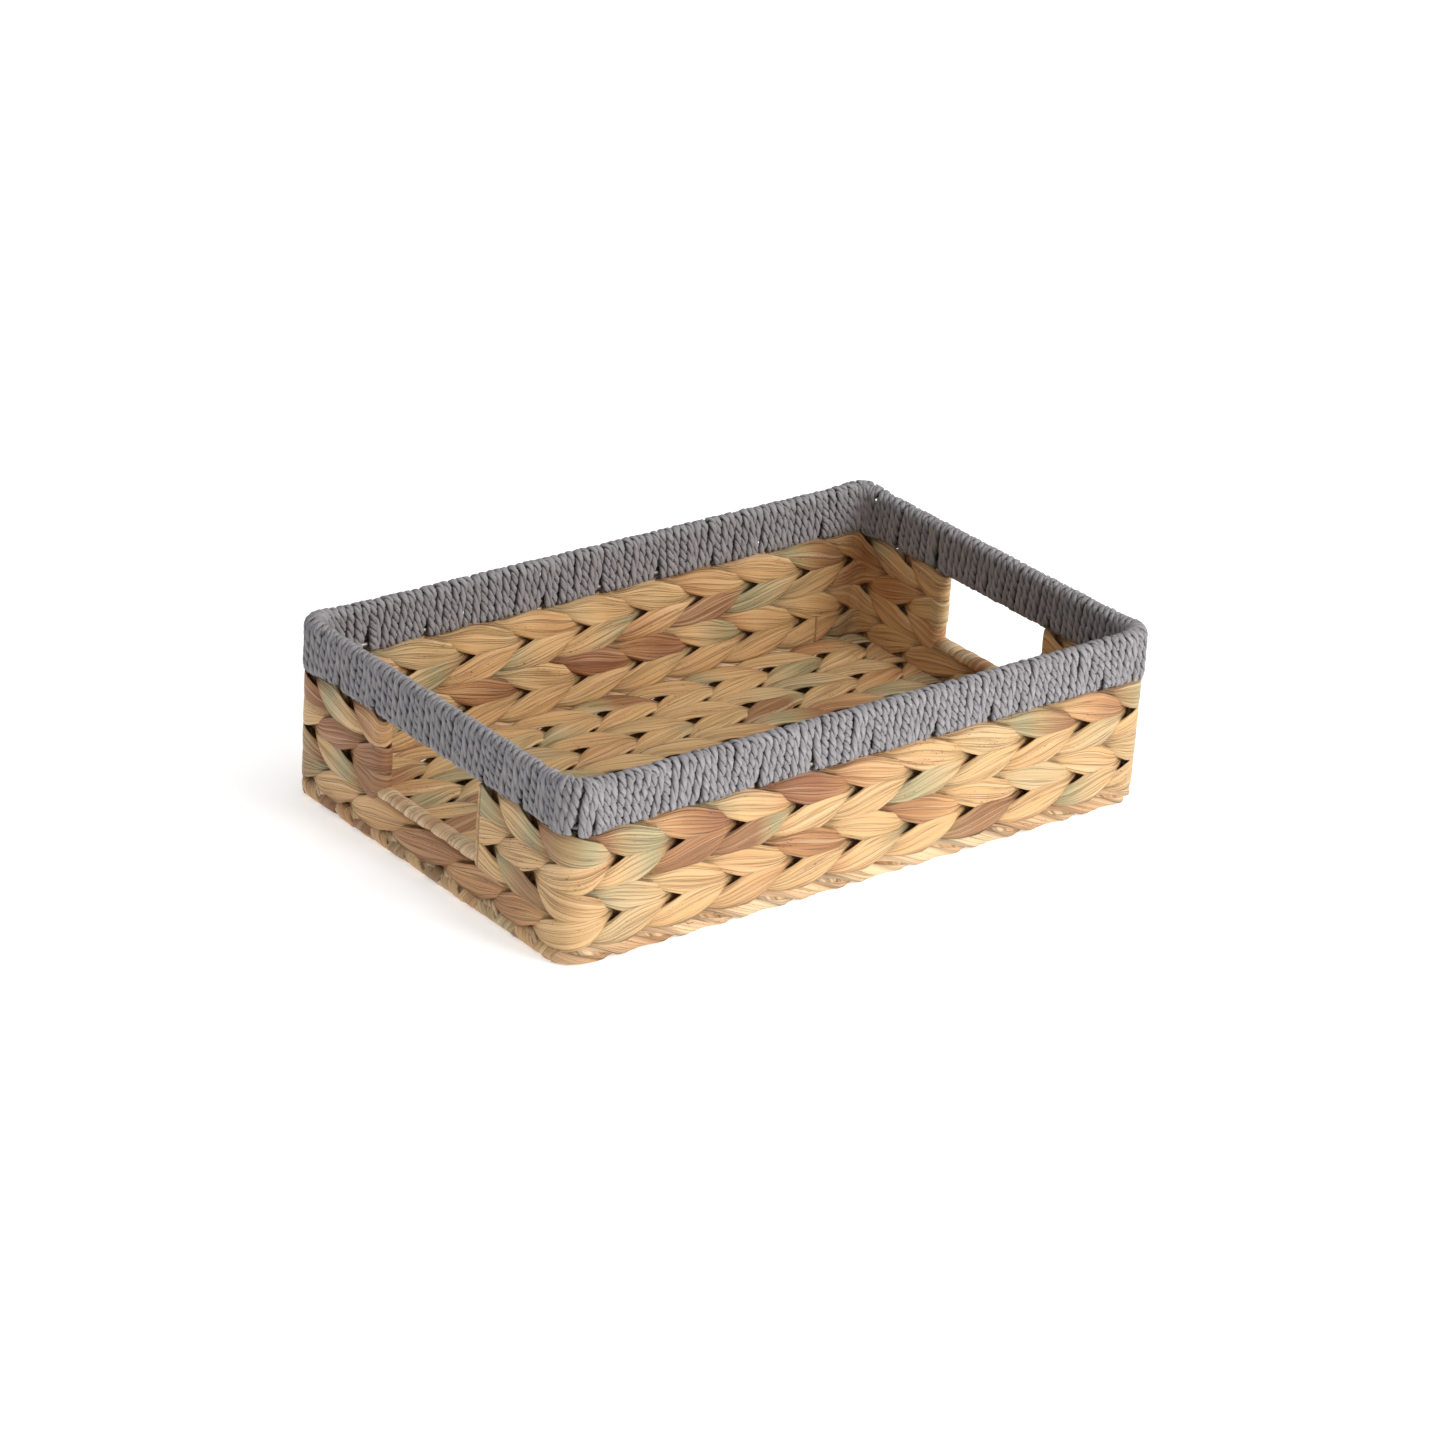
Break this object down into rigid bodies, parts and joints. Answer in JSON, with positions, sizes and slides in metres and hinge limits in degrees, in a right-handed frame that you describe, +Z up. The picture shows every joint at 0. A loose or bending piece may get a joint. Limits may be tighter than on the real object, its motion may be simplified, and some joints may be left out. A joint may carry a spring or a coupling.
{
  "type": "bread basket",
  "caption": "Shallow rectangular bread basket, twined from dried strips on a wire frame, with a cord-wound rim and a hand opening in each short wall.",
  "frame": {"origin": "middle of the footprint, on the surface that the basket stands on", "axes": "+X along the long walls to the right, +Y to the back long wall, +Z up out of the open top"},
  "size_m": [0.38, 0.243, 0.099],
  "materials": {
    "steel_wire": "drawn mild-steel wire, dull grey, hidden by the weave except in small gaps",
    "paper_cord": "two-ply twisted paper cord dyed mid grey, matte",
    "wall_strip": "flattened dried water-hyacinth stem, fibrous, satin, from pale straw to red-brown and olive",
    "base_strip": "flattened dried water-hyacinth stem, fibrous, satin, from olive green to golden tan",
    "wrapping_strip": "flattened dried water-hyacinth stem wound round a wire, pale tan, satin"
  },
  "bodies": {
    "root": {"rim_upper_wire": "steel_wire", "rim_lower_wire": "steel_wire", "rim_spacers": "steel_wire", "base_wire": "steel_wire", "base_cross_wires": "steel_wire", "corner_posts": "steel_wire", "front_stakes": "steel_wire", "back_stakes": "steel_wire", "left_stakes": "steel_wire", "right_stakes": "steel_wire", "opening_posts": "steel_wire", "left_grip_wire": "steel_wire", "right_grip_wire": "steel_wire", "left_grip_wrap": "wrapping_strip", "right_grip_wrap": "wrapping_strip", "rim_wrap_front": "paper_cord", "rim_wrap_back": "paper_cord", "rim_wrap_left": "paper_cord", "rim_wrap_right": "paper_cord", "rim_wrap_corners": "paper_cord", "base_edge_wrap_front": "wrapping_strip", "base_edge_wrap_back": "wrapping_strip", "base_edge_wrap_left": "wrapping_strip", "base_edge_wrap_right": "wrapping_strip", "base_edge_wrap_corners": "wrapping_strip", "front_row_1": "wall_strip", "front_row_2": "wall_strip", "front_row_3": "wall_strip", "front_row_4": "wall_strip", "back_row_1": "wall_strip", "back_row_2": "wall_strip", "back_row_3": "wall_strip", "back_row_4": "wall_strip", "left_front_row_1": "wall_strip", "left_front_row_2": "wall_strip", "left_front_row_3": "wall_strip", "left_back_row_1": "wall_strip", "left_back_row_2": "wall_strip", "left_back_row_3": "wall_strip", "right_front_row_1": "wall_strip", "right_front_row_2": "wall_strip", "right_front_row_3": "wall_strip", "right_back_row_1": "wall_strip", "right_back_row_2": "wall_strip", "right_back_row_3": "wall_strip", "left_row_4": "wall_strip", "right_row_4": "wall_strip", "base_pair_1": "base_strip", "base_pair_2": "base_strip", "base_pair_3": "base_strip", "base_pair_4": "base_strip", "base_pair_5": "base_strip", "base_pair_6": "base_strip", "base_pair_7": "base_strip"}
  },
  "joints": []
}
